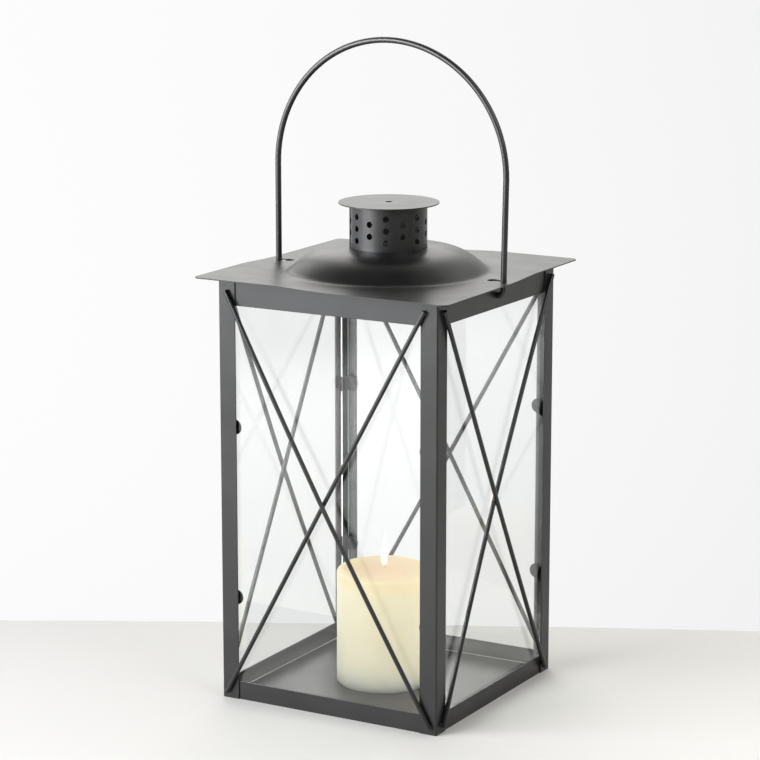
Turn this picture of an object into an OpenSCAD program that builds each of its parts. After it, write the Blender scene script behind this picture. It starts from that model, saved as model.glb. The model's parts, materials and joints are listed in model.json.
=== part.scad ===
// Square metal candle lantern: a glazed steel frame with crossed wires on each
// side, a lift-up domed roof with a vented chimney, a wire carrying handle and
// a pillar candle. Origin on the ground under the middle of the body, +Z up,
// the front face towards -Y.

/* [Body] */
// Width and depth of the square body over its corner posts
body_w = 171; // [150:1:200]
// Height of the corner posts
body_h = 298.6; // [260:0.2:340]
// Thickness of the folded steel sheet
sheet_t = 0.9; // [0.7:0.1:1.2]
// Length of each wing of a corner post
post_wing = 13; // [11:0.1:16]
// Outer radius of the fold along a corner post
post_fold_r = 1.1; // [1:0.1:2]
// Height of the rails that carry the roof
top_rail_h = 17.2; // [15:0.2:22]
// Height of the walls of the floor tray
bottom_rail_h = 13; // [10:0.5:18]
// Width of the flange under the floor plate
flange_w = 10; // [7:0.5:14]
// Thickness of the floor plate
floor_t = 0.8; // [0.6:0.1:1.2]

/* [Glass] */
// Thickness of the window glass
glass_t = 2; // [1.5:0.1:2.5]
// Distance from the top of the glass to the top of the posts
glass_drop = 12.6; // [12.2:0.1:16]
// Distance from the pane edge to the inner face of the corner post
glass_edge_gap = 3.7; // [3.5:0.1:5]

/* [Glass clips] */
// Height of each row of clips above the ground
clip_rows = [73.5, 195.5]; // [40:0.5:240]
// Distance from the body corner to the rounded tip of a clip
clip_reach = 15.3; // [14:0.1:17]
// Height of a clip
clip_h = 10.8; // [8:0.2:13]
// Thickness of a clip
clip_t = 0.6; // [0.4:0.1:0.8]

/* [Brace wires] */
// Diameter of the crossed brace wires
brace_d = 3.4; // [2.5:0.1:4]
// Distance from the body corner to the axis of a wire end
brace_inset = 6.3; // [5:0.1:9]
// Height of the lower wire ends
brace_low_z = 4.2; // [3.5:0.1:8]
// Height of the upper wire ends
brace_high_z = 292; // [250:0.5:293]

/* [Handle] */
// Diameter of the handle wire
bail_d = 3.8; // [3:0.1:4]
// Distance between the two straight legs, axis to axis
bail_span = 179.1; // [178:0.1:180]
// Height of the pivot holes below the top of the posts
pivot_drop = 9; // [8:0.1:10]
// Height at which the legs run into the round arch
spring_z = 369.2; // [350:0.2:400]
// Bending radius between a leg and its hook
bail_bend_r = 4; // [3.5:0.1:4.5]
// Clearance around a hook in its pivot hole
pivot_clearance = 0.08; // [0.05:0.01:0.1]

/* [Roof] */
// Width of the square roof sheet
roof_w = 196.4; // [192:0.2:200]
// Thickness of the roof sheet
roof_t = 0.8; // [0.6:0.1:1]
// Corner radius of the roof sheet
roof_corner_r = 5; // [2:0.5:8]
// Gap between the roof sheet and the frame that it rests on
roof_gap = 0.2; // [0.1:0.05:0.3]
// Radius of the foot of the dome
dome_r = 69; // [66:0.5:70]
// Height of the dome above the roof sheet
dome_h = 16.5; // [12:0.5:20]
// Radius of the smoke opening in the dome
smoke_r = 22; // [18:0.5:24]
// Width of the narrow part of each handle slot
slot_w = 4.7; // [4.6:0.1:5]
// Diameter of the wide inner end of each handle slot
slot_eye_d = 8; // [7:0.2:9]
// Distance from the middle of the roof to the inner end of each slot
slot_inner_x = 77.5; // [77:0.1:79]

/* [Chimney] */
// Outer radius of the chimney collar
collar_r = 26.7; // [26:0.1:28]
// Thickness of the collar sheet
collar_t = 0.6; // [0.5:0.1:0.8]
// Height of the collar
collar_h = 30.5; // [28:0.5:33]
// Number of columns of vent holes, alternately three and two holes high
vent_columns = 14; // [10:2:14]
// Diameter of a vent hole
vent_d = 4.4; // [3.5:0.1:5]
// Distance between the holes in a column
vent_pitch = 8.3; // [7.5:0.1:8.5]
// Direction of the first column of three holes
vent_first_angle = -64.8; // [-90:0.1:-50]
// Direction of the free edge of the lap seam
seam_angle = -147; // [-148:0.5:-146]
// Angle that the lap seam covers
seam_lap = 15; // [10:1:16]
// Number of tabs that hold the collar to the dome
tab_count = 6; // [4:1:8]
// Width of a collar tab
tab_w = 6; // [4:0.5:7]
// Radius of the flat chimney cap
cap_r = 35; // [32:0.5:37]
// Thickness of the chimney cap
cap_t = 0.8; // [0.6:0.1:1]
// Radius of the hole in the middle of the cap
cap_hole_r = 2.5; // [1.5:0.1:3]

/* [Candle] */
// Radius of the pillar candle
candle_r = 34; // [25:0.5:38]
// Height of the pillar candle
candle_h = 84; // [50:1:150]
// Place of the candle on the tray, from the middle of the body
candle_at = [-3.5, 0.5]; // [-20:0.5:20]
// Radius of the melted hollow in the top
pool_r = 28; // [18:0.5:29]
// Depth of the melted hollow
pool_depth = 2.4; // [1:0.2:5]
// Diameter of the wick
wick_d = 1.8; // [1.4:0.1:2.2]
// Height of the wick above the bottom of the melted hollow
wick_rise = 11; // [6:0.5:15]

/* [Hidden] */
$fn = 64;
arc_steps = 12;
wire_fn = 32;
bow_fn = 1440;          // segments of a full circle of the bow, so 22 along the wire
fit_gap = 0.1;          // between pieces that only lie against each other
weld_gap = 0.05;        // between a wire and the sheet it is welded to
collar_gap = 0.05;      // between the folded tabs and the dome
slip = 0.1;             // wick in the candle

half = body_w / 2;
post_in = half - sheet_t;                  // inner faces of the posts
rail_in = post_in - sheet_t;               // inner faces of the rails
rail_half = rail_in - fit_gap;             // half length of a rail
floor_top = sheet_t + floor_t;
glass_out = rail_in - fit_gap;             // outer face of a pane
glass_in = glass_out - glass_t;
glass_half = post_in - glass_edge_gap;     // half width of a pane
glass_top = body_h - glass_drop;

clip_face = glass_in - fit_gap;            // face of a clip that lies on the glass
clip_tip = half - clip_reach;

brace_r = brace_d / 2;
brace_half = half - brace_inset;
brace_y = half + weld_gap + brace_r;       // axis of a wire that lies on the posts
brace_mid_z = (brace_low_z + brace_high_z) / 2;
brace_rise = brace_high_z - brace_low_z;
brace_len = sqrt(pow(2 * brace_half, 2) + pow(brace_rise, 2));
brace_lean = atan(2 * brace_half / brace_rise);
bow = brace_d + weld_gap;                  // the bowed wire clears the straight one
bow_r = pow(brace_len, 2) / (8 * bow) + bow / 2;
bow_angle = 2 * asin(brace_len / 2 / bow_r);

bail_r = bail_d / 2;
bail_half = bail_span / 2;
pivot_z = body_h - pivot_drop;
hook_end_x = rail_in - 1.2;

roof_z = body_h + roof_gap;                // underside of the roof sheet
roof_top = roof_z + roof_t;
dome_out_r = slot_inner_x - 1.5;           // the dome is blended into the sheet by here
dome_flat_r = 27;                          // the dome is level inside this radius
dome_blend = 2;                            // softness of the foot of the dome
slot_eye_x = slot_inner_x + slot_eye_d / 2;
crown_z = roof_top + dome_h;               // the collar stands here
cap_z = crown_z + collar_h;
tab_fold = 5;                              // length of the folded part of a tab
slit_slack = 0.15;                         // room for a tab in its slit

candle_z = floor_top;
shoulder_r = 3;                            // rounding of the candle's upper edge
foot_r = 1.2;                              // rounding of the candle's lower edge
wick_bore_r = wick_d / 2 + slip;

SIDES = ["front", "right", "back", "left"];
CORNERS = ["front_left", "front_right", "back_right", "back_left"];
ROWS = ["lower", "upper"];
LEANS = ["straight", "bowed"];

steel = [0.2, 0.2, 0.2];
steel_light = [0.3, 0.3, 0.31];
glass_tint = [0.85, 0.95, 0.92, 0.35];
wax = [0.95, 0.91, 0.8];

// Points of an arc around a centre, from one angle to another.
function arc(centre, r, from, to) =
    [for (i = [0 : arc_steps]) let (a = from + (to - from) * i / arc_steps)
        centre + r * [cos(a), sin(a)]];

// Height of the dome above the roof sheet before its foot is blended.
function dome_raw(r) =
    let (t = max(0, (r - dome_flat_r) / (dome_r - dome_flat_r)))
    dome_h * (1 - pow(t, 3));

// The same height with a soft foot that runs out level into the sheet.
function soften(h) = (h + sqrt(h * h + dome_blend * dome_blend)) / 2;
function dome_height(r) =
    let (rest = soften(dome_raw(dome_out_r)), top = soften(dome_h) - rest)
    (soften(dome_raw(r)) - rest) * dome_h / top;

// Stands a piece made for the front on one of the four sides or corners.
module on_side(i) { rotate([0, 0, 90 * i]) children(); }

// Corner post: an angle folded from sheet, with a rounded fold.
module post() {
    color(steel)
    translate([-half, -half, 0])
    linear_extrude(body_h) {
        translate([post_fold_r, 0]) square([post_wing - post_fold_r, sheet_t]);
        translate([0, post_fold_r]) square([sheet_t, post_wing - post_fold_r]);
        translate([post_fold_r, post_fold_r]) intersection() {
            difference() {
                circle(post_fold_r);
                circle(post_fold_r - sheet_t);
            }
            translate([-post_fold_r, -post_fold_r]) square(post_fold_r);
        }
    }
}

// Top rail: a flat strip, with a pivot hole for the handle where it is asked for.
module top_rail(pivot) {
    color(steel)
    difference() {
        translate([-rail_half, -post_in, body_h - top_rail_h])
            cube([2 * rail_half, sheet_t, top_rail_h]);
        if (pivot)
            translate([0, -rail_in + 1, pivot_z]) rotate([90, 0, 0])
                cylinder(r = bail_r + pivot_clearance, h = sheet_t + 2);
    }
}

// Bottom rail: the wall of the tray with a mitred flange below the floor plate.
module bottom_rail() {
    color(steel) {
        translate([-rail_half, -post_in, 0]) cube([2 * rail_half, sheet_t, bottom_rail_h]);
        linear_extrude(sheet_t) polygon([
            [-rail_half, -rail_in], [rail_half, -rail_in],
            [rail_half - flange_w, -rail_in + flange_w],
            [-rail_half + flange_w, -rail_in + flange_w]
        ]);
    }
}

// Floor plate: lies on the four flanges.
module floor_plate() {
    color(steel_light)
    translate([-rail_half, -rail_half, sheet_t]) cube([2 * rail_half, 2 * rail_half, floor_t]);
}

// Window pane: stands on the floor plate inside the rails.
module glass() {
    color(glass_tint)
    translate([-glass_half, -glass_out, floor_top])
        cube([2 * glass_half, glass_t, glass_top - floor_top]);
}

// One tongue of a glass clip, with a half-round tip.
module clip_tongue() {
    tip_centre = clip_tip + clip_h / 2;
    translate([0, -clip_face + clip_t, 0]) rotate([90, 0, 0])
    linear_extrude(clip_t) {
        translate([-clip_face, -clip_h / 2]) square([clip_face - tip_centre, clip_h]);
        intersection() {
            translate([-tip_centre, 0]) circle(clip_h / 2);
            translate([-tip_centre, -clip_h / 2]) square([clip_h / 2, clip_h]);
        }
    }
}

// Glass clip: two tongues behind the panes and a web to the fold of the post.
module glass_clip(z) {
    web_from = sqrt(2) * (clip_face - clip_t);
    in_the_fold = sqrt(2) * (half - post_fold_r) + post_fold_r - sheet_t;
    between_the_wings = sqrt(2) * post_in - clip_t / 2;
    web_to = min(in_the_fold, between_the_wings) - 2 * weld_gap;
    color(steel)
    translate([0, 0, z]) {
        clip_tongue();
        mirror([1, -1, 0]) clip_tongue();
        rotate([0, 0, -135]) translate([web_from, -clip_t / 2, -clip_h / 2])
            cube([web_to - web_from, clip_t, clip_h]);
    }
}

// Straight brace wire, lying on the posts from lower left to upper right.
module brace_straight() {
    color(steel)
    translate([0, -brace_y, brace_mid_z]) rotate([0, brace_lean, 0])
        cylinder(r = brace_r, h = brace_len, center = true, $fn = wire_fn);
}

// Bowed brace wire: the other diagonal, bent outwards over the straight one.
module brace_bowed() {
    color(steel)
    translate([0, -brace_y, brace_mid_z]) rotate([0, -brace_lean, 0])
        rotate([90, 0, -90]) translate([bow - bow_r, 0, 0]) rotate([0, 0, -bow_angle / 2])
            rotate_extrude(angle = bow_angle, $fn = bow_fn)
                translate([bow_r, 0]) circle(r = brace_r, $fn = wire_fn);
}

// One leg of the handle with the hook that turns in the pivot hole.
module bail_leg() {
    bend_x = bail_half - bail_bend_r;
    bend_z = pivot_z + bail_bend_r;
    translate([bail_half, 0, bend_z])
        cylinder(r = bail_r, h = spring_z - bend_z, $fn = wire_fn);
    translate([bend_x, 0, bend_z]) rotate([-90, 0, 0]) rotate_extrude(angle = 90)
        translate([bail_bend_r, 0]) circle(r = bail_r, $fn = wire_fn);
    translate([hook_end_x, 0, pivot_z]) {
        rotate([0, 90, 0]) cylinder(r = bail_r, h = bend_x - hook_end_x, $fn = wire_fn);
        sphere(r = bail_r, $fn = wire_fn);
    }
}

// Carrying handle: one wire bent into an arch with two hooked legs.
module bail() {
    color(steel) {
        translate([0, 0, spring_z]) rotate([90, 0, 0]) rotate_extrude(angle = 180, $fn = 180)
            translate([bail_half, 0]) circle(r = bail_r, $fn = wire_fn);
        bail_leg();
        mirror([1, 0, 0]) bail_leg();
    }
}

// Keyhole slot for a leg of the handle, as a flat outline.
module bail_slot() {
    translate([slot_eye_x, 0]) circle(d = slot_eye_d);
    translate([slot_eye_x, -slot_w / 2]) square([bail_half - slot_eye_x, slot_w]);
    translate([bail_half, 0]) circle(d = slot_w);
}

// Square outline of the roof sheet with rounded corners.
module roof_outline() {
    inner = roof_w - 2 * roof_corner_r;
    square([roof_w, inner], center = true);
    square([inner, roof_w], center = true);
    for (i = [0 : 3]) rotate([0, 0, 90 * i])
        translate([inner / 2, inner / 2]) circle(roof_corner_r);
}

// Roof sheet: a flat plate with a pressed dome, a smoke opening and two slots.
module roof_sheet() {
    steps = 36;
    radii = [for (i = [0 : steps]) smoke_r + (dome_out_r - smoke_r) * i / steps];
    profile = concat(
        [for (r = radii) [r, roof_top + dome_height(r)]],
        [for (i = [steps : -1 : 0]) [radii[i], roof_z + dome_height(radii[i])]]
    );
    color(steel_light)
    difference() {
        union() {
            translate([0, 0, roof_z]) linear_extrude(roof_t) difference() {
                roof_outline();
                circle(dome_out_r, $fn = 120);
                bail_slot();
                mirror([1, 0]) bail_slot();
            }
            rotate_extrude($fn = 120) polygon(profile);
        }
        for (i = [0 : tab_count - 1]) rotate([0, 0, tab_angle(i)])
            translate([tab_in_r() - slit_slack, -tab_w / 2 - slit_slack, roof_z])
                cube([collar_r - tab_in_r() + 2 * slit_slack, tab_w + 2 * slit_slack, dome_h + 2]);
    }
}

// Direction of a collar tab, and the radius of its inner corners.
function tab_angle(i) = -30 + 360 / tab_count * i;
function tab_in_r() = sqrt(pow(collar_r - collar_t, 2) - pow(tab_w / 2, 2));

// Chimney collar: a strip rolled into a ring and lapped, with staggered vents
// and tabs that pass through the dome and are folded outwards below it.
module chimney_collar() {
    fold_z = crown_z - roof_t - collar_gap - collar_t;
    color(steel)
    difference() {
        union() {
            intersection() {
                translate([0, 0, fold_z]) difference() {
                    cylinder(r = collar_r, h = cap_z - fold_z);
                    translate([0, 0, -1]) cylinder(r = collar_r - collar_t, h = cap_z - fold_z + 2);
                }
                union() {
                    translate([-cap_r, -cap_r, crown_z]) cube([2 * cap_r, 2 * cap_r, collar_h + 1]);
                    for (i = [0 : tab_count - 1]) rotate([0, 0, tab_angle(i)])
                        translate([0, -tab_w / 2, fold_z - 1]) cube([cap_r, tab_w, collar_h]);
                }
            }
            translate([0, 0, crown_z]) rotate([0, 0, seam_angle - seam_lap])
                rotate_extrude(angle = seam_lap, $fn = 360)
                    translate([collar_r - collar_t / 2, 0]) square([1.5 * collar_t, collar_h]);
            for (i = [0 : tab_count - 1]) rotate([0, 0, tab_angle(i)])
                translate([collar_r - collar_t / 2, -tab_w / 2, fold_z])
                    cube([tab_fold, tab_w, collar_t]);
        }
        for (i = [0 : vent_columns - 1]) vent_column(i);
    }
}

// One column of vent holes: three holes, or two between their heights.
module vent_column(i) {
    count = 3 - i % 2;
    mid_z = crown_z + collar_h / 2 - 0.6;
    rotate([0, 0, vent_first_angle + 360 / vent_columns * i])
        for (k = [0 : count - 1])
            translate([collar_r - 2, 0, mid_z + (k - (count - 1) / 2) * vent_pitch])
                rotate([0, 90, 0]) cylinder(d = vent_d, h = 4);
}

// Chimney cap: a flat disc with a small hole in the middle.
module chimney_cap() {
    color(steel_light)
    translate([0, 0, cap_z]) difference() {
        cylinder(r = cap_r, h = cap_t, $fn = 96);
        translate([0, 0, -1]) cylinder(r = cap_hole_r, h = cap_t + 2);
    }
}

// Pillar candle: rounded edges, a shallow melted hollow and the wick's channel.
module candle() {
    steps = 10;
    pool = [for (i = [0 : steps])
        let (r = pool_r + (wick_bore_r - pool_r) * i / steps)
        [r, candle_h - pool_depth * (1 + cos(180 * r / pool_r)) / 2]];
    profile = concat(
        [[wick_bore_r, 0]],
        arc([candle_r - foot_r, foot_r], foot_r, -90, 0),
        arc([candle_r - shoulder_r, candle_h - shoulder_r], shoulder_r, 0, 90),
        pool
    );
    color(wax)
    translate([candle_at.x, candle_at.y, candle_z]) rotate_extrude($fn = 96) polygon(profile);
}

// Wick: runs the whole height of the candle.
module wick() {
    top = candle_h - pool_depth + wick_rise;
    color([0.15, 0.13, 0.12])
    translate([candle_at.x, candle_at.y, candle_z]) {
        cylinder(d = wick_d, h = top);
        translate([0, 0, top]) sphere(d = wick_d);
    }
}

for (i = [0 : 3]) {
    on_side(i) post();
    on_side(i) top_rail(i % 2 == 1);
    on_side(i) bottom_rail();
    on_side(i) glass();
    on_side(i) brace_straight();
    on_side(i) brace_bowed();
    for (k = [0 : 1])
        on_side(i) glass_clip(clip_rows[k]);
}
floor_plate();
bail();
roof_sheet();
chimney_collar();
chimney_cap();
candle();
wick();
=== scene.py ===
"""Candle lantern: painted steel, window glass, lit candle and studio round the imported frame."""
import json
import math

import bmesh
import bpy
from mathutils import Matrix, Vector, noise


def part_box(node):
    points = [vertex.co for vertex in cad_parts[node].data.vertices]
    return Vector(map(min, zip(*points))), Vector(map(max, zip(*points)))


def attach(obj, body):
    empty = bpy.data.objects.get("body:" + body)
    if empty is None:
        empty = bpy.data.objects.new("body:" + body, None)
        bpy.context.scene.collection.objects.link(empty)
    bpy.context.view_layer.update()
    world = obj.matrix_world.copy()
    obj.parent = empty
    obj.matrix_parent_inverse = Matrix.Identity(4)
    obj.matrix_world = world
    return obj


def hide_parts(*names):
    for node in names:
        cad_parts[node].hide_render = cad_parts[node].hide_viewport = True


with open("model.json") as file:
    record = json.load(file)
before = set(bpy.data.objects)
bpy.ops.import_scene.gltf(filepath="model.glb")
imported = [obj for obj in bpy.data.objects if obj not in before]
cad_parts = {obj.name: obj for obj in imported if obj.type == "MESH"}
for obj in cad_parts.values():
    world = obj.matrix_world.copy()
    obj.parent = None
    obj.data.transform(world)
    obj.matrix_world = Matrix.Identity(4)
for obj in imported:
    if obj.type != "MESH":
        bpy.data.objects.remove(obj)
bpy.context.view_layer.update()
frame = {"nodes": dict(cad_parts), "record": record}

MM = 0.001
SIDES = ("front", "right", "back", "left")       # each a quarter turn on from the last
CORNERS = ("front_left", "front_right", "back_right", "back_left")
UP = Vector((0, 0, 1))


# --- Shaders --------------------------------------------------------------------

class Shader:
    """A node material with one Principled shader, and short ways to add to it."""

    def __init__(self, name, **plain):
        self.material = bpy.data.materials.new(name)
        self.material.use_nodes = True
        self.tree = self.material.node_tree
        self.surface = self.tree.nodes["Principled BSDF"]
        self.output = self.tree.nodes["Material Output"]
        for socket, value in plain.items():
            self.surface.inputs[socket.replace("_", " ")].default_value = value
        self.place = self.add("ShaderNodeTexCoord").outputs["Object"]

    def plug(self, value, socket):
        if isinstance(value, bpy.types.NodeSocket):
            self.tree.links.new(value, socket)
        else:
            socket.default_value = value

    def add(self, kind, settings=None, **inputs):
        node = self.tree.nodes.new(kind)
        for key, value in (settings or {}).items():
            setattr(node, key, value)
        for key, value in inputs.items():
            self.plug(value, node.inputs[key.replace("_", " ")])
        return node

    def feed(self, socket, value):
        self.plug(value, self.surface.inputs[socket])

    def math(self, operation, *values):
        node = self.add("ShaderNodeMath", {"operation": operation})
        for value, socket in zip(values, node.inputs):
            self.plug(value, socket)
        return node.outputs[0]

    def noise(self, scale, detail=2.0, roughness=0.5, stretch=(1, 1, 1)):
        """Noise with features about 1 / scale metres across, drawn out along X, Y and Z."""
        place = self.add("ShaderNodeMapping", Vector=self.place,
                         Scale=tuple(1 / s for s in stretch)).outputs["Vector"]
        return self.add("ShaderNodeTexNoise", Vector=place, Scale=scale, Detail=detail,
                        Roughness=roughness).outputs["Fac"]

    def specks(self, scale, size):
        """1 inside scattered round specks, 0 elsewhere; size is a share of their spacing."""
        cells = self.add("ShaderNodeTexVoronoi", Vector=self.place, Scale=scale)
        return self.remap(cells.outputs["Distance"], size * 0.6, size, 1, 0)

    def remap(self, value, low, high, to_low, to_high):
        return self.add("ShaderNodeMapRange", Value=value, From_Min=low, From_Max=high,
                        To_Min=to_low, To_Max=to_high).outputs["Result"]

    def mix(self, factor, first, second):
        node = self.add("ShaderNodeMix", {"data_type": "RGBA"})
        for value, index in ((factor, 0), (first, 6), (second, 7)):
            self.plug(value, node.inputs[index])
        return node.outputs[2]

    def bump(self, height, depth, below=None):
        """A bump of the given depth in metres, on top of another bump."""
        node = self.add("ShaderNodeBump", Height=height, Distance=depth, Strength=1.0)
        if below is not None:
            self.plug(below, node.inputs["Normal"])
        return node.outputs["Normal"]


def grey(value, warmth=0.0):
    """A linear grey, warmer by a share of its value."""
    return (value * (1 + warmth), value, value * (1 - warmth), 1)


def painted_steel(name, value, roughness, peel=1.0):
    """Satin black powder coat: orange peel, fine grain, drift of tone and gloss, dust."""
    s = Shader(name, Metallic=0.0, IOR=1.5)
    tone = s.mix(s.remap(s.noise(22, 3), 0.3, 0.7, 0, 1), grey(value * 0.8, 0.02),
                 grey(value * 1.2, 0.02))
    dust = s.math("MULTIPLY", s.specks(260, 0.09), s.remap(s.noise(40, 2), 0.5, 0.65, 0, 0.5))
    s.feed("Base Color", s.mix(dust, tone, grey(0.11, 0.04)))
    s.feed("Roughness", s.remap(s.noise(50, 4, 0.6), 0.3, 0.7, roughness - 0.035,
                                roughness + 0.035))
    orange_peel = s.bump(s.noise(600, 2), 0.000022 * peel)
    s.feed("Normal", s.bump(s.noise(1800, 2), 0.000006 * peel, orange_peel))
    return s.material


def window_glass(name):
    """Clear float glass, faintly green, with slow ripples.

    Lamp light and diffuse light pass straight through it, so that neither counts twice.
    """
    s = Shader(name, Transmission_Weight=1.0, Roughness=0.0, IOR=1.5,
               Base_Color=(0.978, 0.986, 0.982, 1))
    s.feed("Normal", s.bump(s.noise(9, 1), 0.00002))
    path = s.add("ShaderNodeLightPath")
    unbent = s.math("MAXIMUM", path.outputs["Is Shadow Ray"], path.outputs["Is Diffuse Ray"])
    clear = s.add("ShaderNodeBsdfTransparent", Color=(0.92, 0.935, 0.925, 1))
    either = s.add("ShaderNodeMixShader")
    for value, index in ((unbent, 0), (s.surface.outputs[0], 1), (clear.outputs[0], 2)):
        s.plug(value, either.inputs[index])
    s.plug(either.outputs[0], s.output.inputs["Surface"])
    return s.material


def ground_edge(name, glow, green):
    """Ground glass edge: frosted and green, with a painted glow that stands in for the light
    piped along the pane.
    """
    s = Shader(name, Roughness=0.5, IOR=1.5)
    chips = s.remap(s.noise(900, 3, 0.6), 0.35, 0.65, 0, 1)
    pale, deep = (1 - green, 1 - green * 0.3, 1 - green * 0.55, 1), grey(0.8)
    s.feed("Base Color", s.mix(chips, deep, pale))
    s.feed("Emission Color", s.mix(chips, deep, pale))
    s.surface.inputs["Emission Strength"].default_value = glow
    s.feed("Normal", s.bump(s.noise(1500, 3), 0.00005))
    return s.material


def candle_wax(name, top):
    """Ivory wax: dull, mottled and soft to light, with a painted peach glow towards the top where
    the flame shines into it.
    """
    s = Shader(name, IOR=1.44, Specular_IOR_Level=0.15, Subsurface_Weight=1.0,
               Subsurface_Scale=0.05, Subsurface_Radius=(1.0, 0.85, 0.55))
    height = s.add("ShaderNodeSeparateXYZ", Vector=s.place).outputs[2]
    mottle = s.remap(s.noise(55, 4, 0.6), 0.3, 0.7, 0, 1)
    ivory = s.mix(mottle, (0.69, 0.63, 0.47, 1), (0.73, 0.67, 0.51, 1))
    # Painted flame light: the top 16 mm of the wax is coloured peach.
    warm = s.remap(height, top - 0.016, top, 0, 0.85)
    s.feed("Base Color", s.mix(warm, ivory, (0.76, 0.56, 0.35, 1)))
    s.feed("Roughness", s.remap(s.noise(150, 3), 0.3, 0.7, 0.38, 0.54))
    dents = s.bump(s.noise(120, 3), 0.00018)
    s.feed("Normal", s.bump(s.noise(900, 2), 0.000025, dents))
    return s.material


def wick_cotton(name, low, high):
    """Braided cotton: waxy and pale at the foot, charred towards the tip."""
    s = Shader(name, Roughness=0.85)
    height = s.add("ShaderNodeSeparateXYZ", Vector=s.place).outputs[2]
    burnt = s.remap(s.math("ADD", height, s.remap(s.noise(700, 2), 0, 1, -0.001, 0.001)),
                    low, high, 0, 1)
    s.feed("Base Color", s.mix(burnt, (0.8, 0.64, 0.46, 1), (0.012, 0.01, 0.009, 1)))
    s.feed("Normal", s.bump(s.noise(2500, 3), 0.0001))
    return s.material


def flame_glow(name, low, high):
    """Flame: clear orange glow over what is behind it, brightest at the middle."""
    s = Shader(name)
    s.tree.nodes.remove(s.surface)
    height = s.add("ShaderNodeSeparateXYZ", Vector=s.place).outputs[2]
    edge = s.add("ShaderNodeLayerWeight", Blend=0.5).outputs["Facing"]
    flicker = s.remap(s.noise(90, 1), 0.3, 0.7, -0.03, 0.03)
    core = s.remap(s.math("ADD", edge, flicker), 0.15, 0.95, 1, 0)
    foot = s.remap(height, low, low + (high - low) * 0.14, 0.2, 1)
    tip = s.remap(height, low + (high - low) * 0.7, high, 1, 0.3)
    colour = s.mix(core, (1, 0.42, 0.12, 1), (1, 0.56, 0.24, 1))
    strength = s.math("MULTIPLY", s.math("POWER", core, 1.4), s.math("MULTIPLY", foot, tip))
    glow = s.add("ShaderNodeEmission", Color=colour, Strength=s.math("MULTIPLY", strength, 1.9))
    clear = s.add("ShaderNodeBsdfTransparent")
    both = s.add("ShaderNodeAddShader")
    s.plug(glow.outputs[0], both.inputs[0])
    s.plug(clear.outputs[0], both.inputs[1])
    s.plug(both.outputs[0], s.output.inputs["Surface"])
    return s.material


def assign(piece, material):
    piece.data.materials.clear()
    piece.data.materials.append(material)


# --- Mesh building --------------------------------------------------------------

def to_object(name, mesh, smooth_below=35):
    """Turns a bmesh into an object, smooth except at edges sharper than the given angle."""
    bmesh.ops.recalc_face_normals(mesh, faces=mesh.faces)
    data = bpy.data.meshes.new(name)
    mesh.to_mesh(data)
    mesh.free()
    data.shade_smooth()
    data.set_sharp_from_angle(angle=math.radians(smooth_below))
    piece = bpy.data.objects.new(name, data)
    bpy.context.scene.collection.objects.link(piece)
    return piece


def weigh_normals(piece):
    """Large flat faces keep their own normals; the bends beside them take up the turn."""
    piece.modifiers.new("weigh", "WEIGHTED_NORMAL").keep_sharp = True
    seen = piece.evaluated_get(bpy.context.evaluated_depsgraph_get())
    plain = piece.data
    piece.data = bpy.data.meshes.new_from_object(seen)
    piece.modifiers.clear()
    bpy.data.meshes.remove(plain)
    return piece


def round_normals(piece):
    """Walls of a ring about the Z axis are shaded as the true cylinder."""
    data = piece.data
    normals = [None] * len(data.loops)
    for face in data.polygons:
        for loop in face.loop_indices:
            at = data.vertices[data.loops[loop].vertex_index].co
            out = Vector((at.x, at.y, 0)).normalized()
            lean = face.normal.dot(out)
            wall = abs(lean) > 0.9 and abs(face.normal.z) < 0.05
            normals[loop] = out * (1 if lean > 0 else -1) if wall else face.normal
    data.normals_split_custom_set(normals)
    return piece


def body_of(node):
    for body, members in frame["record"]["behaviour"]["bodies"].items():
        if node in members:
            return body


def stand_in(piece, node, material):
    """The piece is shown for a CAD node, rides with it and takes its finish."""
    assign(piece, material)
    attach(piece, body_of(node))
    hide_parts(node)


def slices(low, high, step):
    """Evenly spaced heights between low and high, at most a step apart."""
    count = math.ceil((high - low) / step)
    return [low + (high - low) * i / count for i in range(1, count)]


def finished(node, chamfer=0.0, bend=None, cuts=(0, 0, 0), swell=0.0):
    """A CAD node with joined faces, smooth rounds and fine chamfers along its cut edges.

    A node that is bent is first sliced across X, Y and Z at the steps given in cuts, and
    swell grows it by that much all over.
    """
    mesh = bmesh.new()
    mesh.from_mesh(frame["nodes"][node].data)
    bmesh.ops.remove_doubles(mesh, verts=mesh.verts, dist=0.002 * MM)
    bmesh.ops.dissolve_limit(mesh, angle_limit=math.radians(0.05), verts=mesh.verts,
                             edges=mesh.edges)
    if chamfer:
        cut = [e for e in mesh.edges if len(e.link_faces) == 2 and e.is_convex
               and e.calc_face_angle() > math.radians(50)]
        bmesh.ops.bevel(mesh, geom=cut, offset=chamfer, segments=1, affect="EDGES",
                        clamp_overlap=True)
    low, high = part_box(node)
    for axis, step in enumerate(cuts):
        for height in slices(low[axis], high[axis], step) if step else ():
            at = Vector([height if i == axis else 0 for i in range(3)])
            across = Vector([i == axis for i in range(3)])
            bmesh.ops.bisect_plane(mesh, geom=mesh.verts[:] + mesh.edges[:] + mesh.faces[:],
                                   dist=0.001 * MM, plane_co=at, plane_no=across)
    if bend or swell:
        mesh.normal_update()
        for vert in mesh.verts:
            out = vert.co + vert.normal * swell
            vert.co = bend(out) if bend else out
    return weigh_normals(to_object(f"{node}_finished", mesh))


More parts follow.
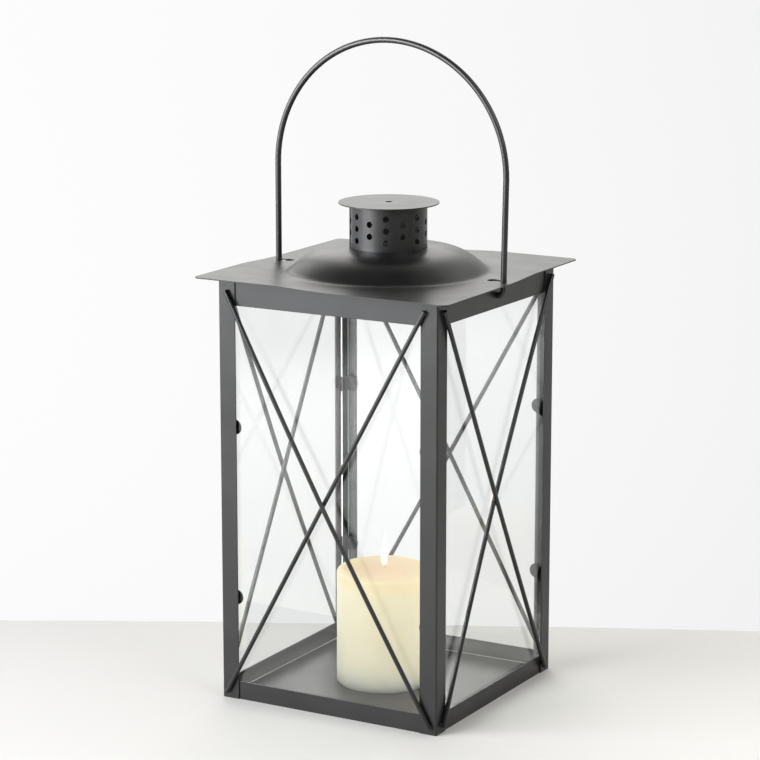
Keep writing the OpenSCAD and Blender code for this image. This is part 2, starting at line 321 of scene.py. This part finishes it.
def tube(mesh, path, radius, turns=20):
    """Adds a closed tube along a path; radius is a function of the step and the angle."""
    rings = []
    side = None
    for i, point in enumerate(path):
        along = (path[min(i + 1, len(path) - 1)] - path[max(i - 1, 0)]).normalized()
        side = (side or along.orthogonal())
        side = (side - along * side.dot(along)).normalized()
        other = along.cross(side)
        rings.append([mesh.verts.new(point + (side * math.cos(a) + other * math.sin(a))
                                     * radius(i, a))
                      for a in (2 * math.pi * k / turns for k in range(turns))])
    for low, high in zip(rings, rings[1:]):
        for k in range(turns):
            n = (k + 1) % turns
            mesh.faces.new((low[k], low[n], high[n], high[k]))
    mesh.faces.new(rings[0][::-1])
    mesh.faces.new(rings[-1])


def lathe(mesh, outline, centre, turns=64, wobble=None):
    """Adds a closed round solid from (radius, height) pairs that start and end on the axis."""
    rings = []
    for radius, height in outline:
        steps = 1 if radius == 0 else turns
        ring = []
        for a in (2 * math.pi * k / steps for k in range(steps)):
            at = Vector((radius * math.cos(a), radius * math.sin(a), height))
            ring.append(mesh.verts.new(centre + (wobble(at) if wobble else at)))
        rings.append(ring)
    for low, high in zip(rings, rings[1:]):
        for k in range(turns):
            n = (k + 1) % turns
            corners = (low[k % len(low)], low[n % len(low)], high[n % len(high)],
                       high[k % len(high)])
            mesh.faces.new(list(dict.fromkeys(corners)))


# --- Steel ----------------------------------------------------------------------

# One satin black paint in copies whose values differ as painted light and shade: the roof copy is
# darker as painted shade, the chimney and bail copies lighter as painted light.
sheet_paint = painted_steel("sheet_paint", 0.010, 0.35)
shaded_roof_paint = painted_steel("shaded_roof_paint", 0.004, 0.35, 0.7)
wire_paint = painted_steel("wire_paint", 0.007, 0.32)
clip_paint = painted_steel("clip_paint", 0.008, 0.42)
lit_chimney_paint = painted_steel("lit_chimney_paint", 0.014, 0.34)
lit_bail_paint = painted_steel("lit_bail_paint", 0.013, 0.34)

roof_low, roof_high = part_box("roof_sheet")
roof_half = roof_high.x
body_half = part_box("post_front_right")[1].x


def roof_bend(at):
    """The thin sheet curls up a little towards its front left and back right corners."""
    curl, dome_edge, ease_over = 1.5 * MM, 78 * MM, 20 * MM
    corner = min(1, 3 * max(0, at.x * at.y) / roof_half ** 2)
    outside_dome = min(1, max(0, (math.hypot(at.x, at.y) - dome_edge) / ease_over))
    ease = outside_dome * outside_dome * (3 - 2 * outside_dome)
    return at + UP * curl * corner * ease


def frame_bend(at):
    """The welded frame is slightly out of square: its back left corner stands outward."""
    corner_shift = Vector((-1.65, -0.94, 0)) * MM
    share = (1 - at.x / body_half) * (1 + at.y / body_half) / 4
    return at + corner_shift * share


def bail_bend(at):
    """The right leg of the handle leans out a little where it runs into the arch."""
    lean = Vector((1.3, 0, 0)) * MM
    rise = min(1, max(0, (at.z - roof_low.z) / (spring_z - roof_low.z)))
    over = min(1, max(0, (at.z - spring_z) / (bail_high.z - spring_z)))
    return at + lean * rise * (1 - over ** 3) * (at.x > 0)


def right_rail_bend(at):
    """The strip was sheared a little deeper towards its back end."""
    extra, lower_edge = 1.6 * MM, rail_low.z + 2 * MM
    share = (1 + at.y / body_half) / 2 * (at.z < lower_edge)
    return frame_bend(at) - UP * extra * share


rail_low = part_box("top_rail_right")[0]
bail_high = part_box("bail")[1]
spring_z = bail_high.z - bail_high.x
for corner in CORNERS:
    stand_in(finished(f"post_{corner}", 0.06 * MM, frame_bend), f"post_{corner}",
             sheet_paint)
    for height in ("lower", "upper"):
        clip = f"clip_{corner}_{height}"
        stand_in(finished(clip, 0.1 * MM, frame_bend), clip, clip_paint)
for side in SIDES:
    for rail in (f"top_rail_{side}", f"bottom_rail_{side}"):
        bend = right_rail_bend if rail == "top_rail_right" else frame_bend
        stand_in(finished(rail, 0.06 * MM, bend), rail, sheet_paint)
stand_in(finished("floor_plate", bend=frame_bend), "floor_plate", sheet_paint)
stand_in(finished("roof_sheet", bend=roof_bend, cuts=(12 * MM, 12 * MM, 0)),
         "roof_sheet", shaded_roof_paint)
stand_in(round_normals(finished("chimney_collar")), "chimney_collar", lit_chimney_paint)
stand_in(finished("chimney_cap", 0.06 * MM), "chimney_cap", lit_chimney_paint)
stand_in(finished("bail", bend=bail_bend, cuts=(0, 0, 12 * MM), swell=0.2 * MM), "bail",
         lit_bail_paint)


def brace(side, kind, low, high, bow, sag=0):
    """A brace wire; low and high stray from the drawn ends.

    Bow swells out from the post face and sag along it.
    """
    node = f"brace_{side}_{kind}"
    turn = Matrix.Rotation(math.radians(90) * SIDES.index(side), 4, "Z")
    box_low, box_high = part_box(f"brace_front_{kind}")
    radius = (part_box("brace_front_straight")[1].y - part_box("brace_front_straight")[0].y) / 2
    away = box_high.y - radius
    reach = box_high.x - radius
    lean = 1 if kind == "straight" else -1
    ends = (Vector((-lean * reach + low, away, box_low.z + radius * 0.6)),
            Vector((lean * reach + high, away, box_high.z - radius * 0.6)))
    thinner, steps = 0.12 * MM, 48
    path = []
    for i in range(steps + 1):
        t = i / steps
        swell = 1 - abs(2 * t - 1) ** 1.6
        path.append(turn @ (ends[0].lerp(ends[1], t) + Vector((sag * swell, -bow * swell, 0))))
    mesh = bmesh.new()
    tube(mesh, path, lambda i, a: radius - thinner)
    stand_in(to_object(f"{node}_wire", mesh, 50), node, wire_paint)
    return [turn @ end for end in ends], turn @ Vector((0, 1, 0))


def mound(mesh, centre, inward, radius, seed, turns=14, tiers=4):
    """Adds a lumpy dome of weld metal that stands on a face."""
    along = UP.cross(inward)
    rows = []
    for i in range(tiers + 1):
        tilt = math.pi / 2 * i / tiers
        steps = 1 if i == tiers else turns
        rows.append([])
        for a in (2 * math.pi * k / steps for k in range(steps)):
            flat = (along * math.cos(a) + UP * math.sin(a)) * math.cos(tilt) * radius
            at = centre + flat - inward * math.sin(tilt) * radius * 0.55
            at += flat * 0.3 * noise.noise(at * 900 + Vector((seed, 0, 0)))
            rows[-1].append(mesh.verts.new(at))
    for low, high in zip(rows, rows[1:]):
        for k in range(turns):
            n = (k + 1) % turns
            corners = (low[k], low[n], high[n % len(high)], high[k % len(high)])
            mesh.faces.new(list(dict.fromkeys(corners)))
    mesh.faces.new(rows[0][::-1])


wires = (
    brace("front", "straight", -2.3 * MM, -2.7 * MM, 0.8 * MM),
    brace("front", "bowed", 2.8 * MM, 0, 4.7 * MM),
    brace("right", "straight", 0, 0.6 * MM, -1.1 * MM, -3.6 * MM),
    brace("right", "bowed", -3.9 * MM, -0.4 * MM, 1.2 * MM, -3.4 * MM),
    brace("back", "straight", -1.4 * MM, 0.2 * MM, -1.1 * MM, -2.4 * MM),
    brace("back", "bowed", 3.0 * MM, -0.9 * MM, 1.0 * MM),
    brace("left", "straight", 1.3 * MM, -8.0 * MM, 3.1 * MM),
    brace("left", "bowed", 0.8 * MM, 0.4 * MM, -0.4 * MM),
)
bead_radius, bead_inset = 1.9 * MM, 1.6 * MM
beads = bmesh.new()
for number, (ends, inward) in enumerate(wires):
    along = (ends[1] - ends[0]).normalized()
    for which, end in enumerate(ends):
        foot = end + along * bead_inset * (1 - 2 * which)
        foot -= inward * (inward.dot(foot) + body_half)
        mound(beads, foot, inward, bead_radius, number * 2 + which)
weld_beads = to_object("weld_beads", beads, 60)
assign(weld_beads, wire_paint)
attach(weld_beads, "frame")

# --- Glass, candle, wick and flame ----------------------------------------------

def left_pane_cut(at):
    """The left pane was cut a little narrow and stops short of the back corner."""
    missing = Vector((0, 5.5, 0)) * MM
    return at - missing * (at.y > 0)


faces_material, edge_material, level_edge_material = 0, 1, 2
glass = window_glass("glass")
# All three edge finishes carry a painted glow; the left pane's edge glows most.
painted_glow_edge = ground_edge("painted_glow_edge", 0.8, 0.02)
green_edge = ground_edge("green_edge", 0.04, 0.4)
dull_edge = ground_edge("dull_edge", 0.15, 0.05)
for side in SIDES:
    pane = finished(f"glass_{side}", 0.3 * MM, left_pane_cut if side == "left" else None)
    stand_in(pane, f"glass_{side}", glass)
    pane.data.materials.append(painted_glow_edge if side == "left" else green_edge)
    pane.data.materials.append(dull_edge)
    thin = min(range(3), key=lambda i: pane.dimensions[i])
    for face in pane.data.polygons:
        if abs(face.normal.z) > 0.5:
            face.material_index = level_edge_material
        elif abs(face.normal[thin]) < 0.9:
            face.material_index = edge_material
        else:
            face.material_index = faces_material

candle_low, candle_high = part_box("candle")
candle_r = (candle_high.x - candle_low.x) / 2
candle_h = candle_high.z - candle_low.z
candle_foot = Vector(((candle_low.x + candle_high.x) / 2, (candle_low.y + candle_high.y) / 2,
                      candle_low.z))


def candle_outline():
    """A chamfered foot, an upright side, a round shoulder and a top that dips to the wick."""
    chamfer, shoulder, deepest = 0.8 * MM, 4.6 * MM, 0.9 * MM
    side_steps, shoulder_steps, top_steps = 14, 8, 12
    pairs = [(0, 0), (candle_r * 0.5, 0), (candle_r - chamfer, 0), (candle_r, chamfer)]
    pairs += [(candle_r, candle_h * t / side_steps) for t in range(1, side_steps)]
    for i in range(shoulder_steps + 1):
        a = math.pi / 2 * i / shoulder_steps
        pairs.append((candle_r - shoulder + shoulder * math.cos(a),
                      candle_h - shoulder + shoulder * math.sin(a)))
    for i in range(1, top_steps + 1):
        t = i / top_steps
        dip = deepest * (1 - (1 - t) ** 2.4)
        pairs.append(((candle_r - shoulder) * (1 - t), candle_h - dip))
    return pairs


def candle_wobble(at):
    """Small dents in the side, and a rim that the flame has melted unevenly."""
    dent, inset, drop, settle = 0.22 * MM, 0.25 * MM, 0.5 * MM, 0.35 * MM
    out = Vector((at.x, at.y, 0)).normalized() if at.x or at.y else Vector()
    at = at + out * dent * noise.noise(at * 45) - out * inset
    rim = max(0, at.z / candle_h - 0.9) * 10
    return at + UP * rim * (drop * noise.noise(Vector((at.x, at.y, 0)) * 60) - settle)


wax = candle_wax("wax", candle_high.z)
mesh = bmesh.new()
lathe(mesh, candle_outline(), candle_foot, 96, candle_wobble)
candle = to_object("candle_melted", mesh, 60)
stand_in(candle, "candle", wax)

wick_low, wick_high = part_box("wick")
wick_r = (wick_high.x - wick_low.x) / 2
wick_steps = 24
wick_path = []
for i in range(wick_steps + 1):
    t = i / wick_steps
    sway = Vector((0.9, -0.4, 0)) * MM * max(0, t - 0.55) ** 1.5 * 2.6
    wick_path.append(Vector((candle_foot.x, candle_foot.y, wick_low.z * (1 - t)
                             + (wick_high.z - 0.6 * MM) * t)) + sway)


def braid(i, angle):
    """Three strands that wind round each other, thinner at the burnt tip."""
    taper = 1 - 0.45 * max(0, i / wick_steps - 0.8) * 5
    return wick_r * 0.9 * taper * (0.86 + 0.14 * math.cos(3 * angle + i * 1.1))


mesh = bmesh.new()
tube(mesh, wick_path, braid, 24)
cotton = wick_cotton("cotton", candle_high.z + 6 * MM, candle_high.z + 10 * MM)
stand_in(to_object("wick_braided", mesh, 60), "wick", cotton)

flame_foot = Vector((candle_foot.x, candle_foot.y, candle_high.z + 0.2 * MM))
flame_h = 26 * MM
flame_r = 2.8 * MM
flame_steps = 32
outline = [(0, 0)]
for i in range(1, flame_steps):
    t = i / flame_steps
    swell = math.sin(math.pi * t ** 0.62) ** 0.8 * (1 - 0.45 * t)
    outline.append((flame_r * max(0.03, swell), flame_h * t))
outline.append((0, flame_h))


def flame_lean(at):
    t = at.z / flame_h
    return at + Vector((1.1, 0.3, 0)) * MM * t * (1 - 0.4 * t)


mesh = bmesh.new()
lathe(mesh, outline, flame_foot, 32, flame_lean)
flame = to_object("flame", mesh, 80)
assign(flame, flame_glow("flame_glow", flame_foot.z, flame_foot.z + flame_h))
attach(flame, "candle")


# --- Camera ---------------------------------------------------------------------

camera_azimuth = math.radians(29.73)
camera_elevation = math.radians(12.29)
camera_distance = 1.987
camera_aim = Vector((-0.0054, -0.0029, 0.2213))
to_camera = Vector((math.sin(camera_azimuth), -math.cos(camera_azimuth), 0))
to_right = Vector((math.cos(camera_azimuth), math.sin(camera_azimuth), 0))


def direction(azimuth, elevation):
    """Unit vector; azimuth turns round the lantern from the camera towards its right."""
    a, e = math.radians(azimuth), math.radians(elevation)
    level = to_camera * math.cos(a) + to_right * math.sin(a)
    return level * math.cos(e) + UP * math.sin(e)


camera_back = to_camera * math.cos(camera_elevation) + UP * math.sin(camera_elevation)
camera_data = bpy.data.cameras.new("camera")
camera_data.lens = 134.46
camera_data.sensor_width = 36
camera = bpy.data.objects.new("camera", camera_data)
camera.location = camera_aim + camera_back * camera_distance
camera.rotation_euler = camera_back.to_track_quat("Z", "Y").to_euler()
bpy.context.scene.collection.objects.link(camera)
bpy.context.scene.camera = camera


# --- Table ----------------------------------------------------------------------

def table_paper(name):
    """Matt off-white paper, painted lighter to the right to make up for the key lamp fading
    there.
    """
    s = Shader(name, Roughness=0.8)
    along = s.add("ShaderNodeVectorMath", {"operation": "DOT_PRODUCT"})
    s.plug(s.place, along.inputs[0])
    s.plug(tuple(to_right), along.inputs[1])
    # Painted light: the paper's brightness rises towards the right.
    painted_fill = s.remap(along.outputs["Value"], -0.3, 0.3, 0, 1)
    fibre = s.remap(s.noise(900, 3), 0.3, 0.7, 0, 1)
    paper = s.mix(painted_fill, (0.545, 0.535, 0.522, 1), (0.725, 0.705, 0.675, 1))
    s.feed("Base Color", s.mix(s.math("MULTIPLY", fibre, 0.05), paper, grey(0.6)))
    s.feed("Normal", s.bump(s.noise(700, 3), 0.00003))
    return s.material


def table_top():
    """A thick board with a rounded back edge that is cut in a slight curve."""
    mesh = bmesh.new()
    half_width, front, thick, round_off = 3.0, 3.0, 20 * MM, 2.5 * MM
    back_middle, slant, curve, curved_half = -0.142, 0.05, 0.07, 0.6
    columns, round_steps = 120, 4
    rows = []
    for i in range(columns + 1):
        along = half_width * (2 * i / columns - 1) ** 3
        near_by = max(-curved_half, min(curved_half, along))
        back = back_middle + slant * along + curve * near_by * near_by
        profile = [(front, -thick), (front, 0)]
        for k in range(round_steps + 1):
            a = math.pi / 2 * k / round_steps
            profile.append((back + round_off * (1 - math.sin(a)),
                            round_off * (math.cos(a) - 1)))
        profile.append((back, -thick))
        rows.append([mesh.verts.new(to_right * along + to_camera * y + UP * z)
                     for y, z in profile])
    for first, second in zip(rows, rows[1:]):
        for k in range(len(first)):
            n = (k + 1) % len(first)
            mesh.faces.new((first[k], second[k], second[n], first[n]))
    mesh.faces.new(rows[0])
    mesh.faces.new(rows[-1][::-1])
    return to_object("table", mesh)


table = table_top()
assign(table, table_paper("table_paper"))


# --- Light ----------------------------------------------------------------------

def soft_box(name, azimuth, elevation, distance, size, radiance, colour):
    """A square lamp that faces the lantern."""
    data = bpy.data.lights.new(name, "AREA")
    data.size = size
    data.energy = math.pi * size * size * radiance
    data.color = colour
    lamp = bpy.data.objects.new(name, data)
    way = direction(azimuth, elevation)
    lamp.location = UP * 0.2 + way * distance
    lamp.rotation_euler = way.to_track_quat("Z", "Y").to_euler()
    lamp.visible_camera = False
    bpy.context.scene.collection.objects.link(lamp)
    return lamp


class Studio:
    """A world lit by soft lobes: each fades with azimuth and elevation from its middle."""

    def __init__(self):
        self.world = bpy.data.worlds.new("studio")
        self.world.use_nodes = True
        self.tree = self.world.node_tree
        self.tree.nodes.remove(self.tree.nodes["Background"])
        self.ray = self.tree.nodes.new("ShaderNodeTexCoord").outputs["Generated"]
        self.height = self.math("ARCSINE", self.dot(UP))
        self.total = None

    def math(self, operation, *values):
        node = self.tree.nodes.new("ShaderNodeMath")
        node.operation = operation
        for value, socket in zip(values, node.inputs):
            if isinstance(value, bpy.types.NodeSocket):
                self.tree.links.new(value, socket)
            else:
                socket.default_value = value
        return node.outputs[0]

    def dot(self, vector):
        node = self.tree.nodes.new("ShaderNodeVectorMath")
        node.operation = "DOT_PRODUCT"
        self.tree.links.new(self.ray, node.inputs[0])
        node.inputs[1].default_value = tuple(vector)
        return node.outputs["Value"]

    def lobe(self, azimuth, width, elevation, depth, strength, colour):
        turn = self.math("ARCTAN2", self.dot(direction(azimuth + 90, 0)),
                         self.dot(direction(azimuth, 0)))
        lift = self.math("SUBTRACT", self.height, math.radians(elevation))
        far_round = self.math("POWER", self.math("DIVIDE", turn, math.radians(width)), 2.0)
        far_up = self.math("POWER", self.math("DIVIDE", lift, math.radians(depth)), 2.0)
        fade = self.math("EXPONENT", self.math("MULTIPLY",
                                               self.math("ADD", far_round, far_up), -1.0))
        light = self.tree.nodes.new("ShaderNodeBackground")
        light.inputs["Color"].default_value = (*colour, 1)
        self.tree.links.new(self.math("MULTIPLY", fade, strength), light.inputs["Strength"])
        if self.total is None:
            self.total = light.outputs[0]
            return
        both = self.tree.nodes.new("ShaderNodeAddShader")
        self.tree.links.new(self.total, both.inputs[0])
        self.tree.links.new(light.outputs[0], both.inputs[1])
        self.total = both.outputs[0]

    def finish(self):
        self.tree.links.new(self.total, self.tree.nodes["World Output"].inputs["Surface"])
        bpy.context.scene.world = self.world


cool, plain, warm = (0.98, 1.0, 1.03), (1.0, 1.0, 1.0), (1.01, 1.0, 0.965)
studio = Studio()
studio.lobe(195, 75, -12, 40, 0.985, plain)    # paper backdrop behind the table
studio.lobe(182, 29, 41, 21, 2.8, warm)        # lit wall and ceiling above the backdrop
studio.lobe(198, 26, 22, 12, 1.8, warm)
studio.lobe(107, 28, 12, 25, 1.0, warm)        # fill from the right
studio.lobe(121, 26, 45, 17, 1.6, warm)
studio.lobe(293, 33, 5, 18, 7.4, cool)         # window side, low on the left
studio.finish()
key = soft_box("key", -65, 20, 1.2, 0.8, 10.5, cool)
soft_box("fill", 45, 38, 1.5, 1.0, 3.5, plain)
candle_key = soft_box("candle_key", -65, 1, 1.2, 0.8, 6.8, cool)
candle_fill = soft_box("candle_fill", 62, 6, 0.9, 0.6, 6.0, plain)

# The candle has a key and a fill of its own, which stand in for light that glows in the wax.
only_candle = bpy.data.collections.new("only_candle")
only_candle.objects.link(candle)
all_but_candle = bpy.data.collections.new("all_but_candle")
all_but_candle.objects.link(candle)
all_but_candle.collection_objects[0].light_linking.link_state = "EXCLUDE"
for lamp, receivers in ((key, all_but_candle), (candle_key, only_candle),
                        (candle_fill, only_candle)):
    lamp.light_linking.receiver_collection = receivers
bpy.context.scene.view_settings.view_transform = "Standard"
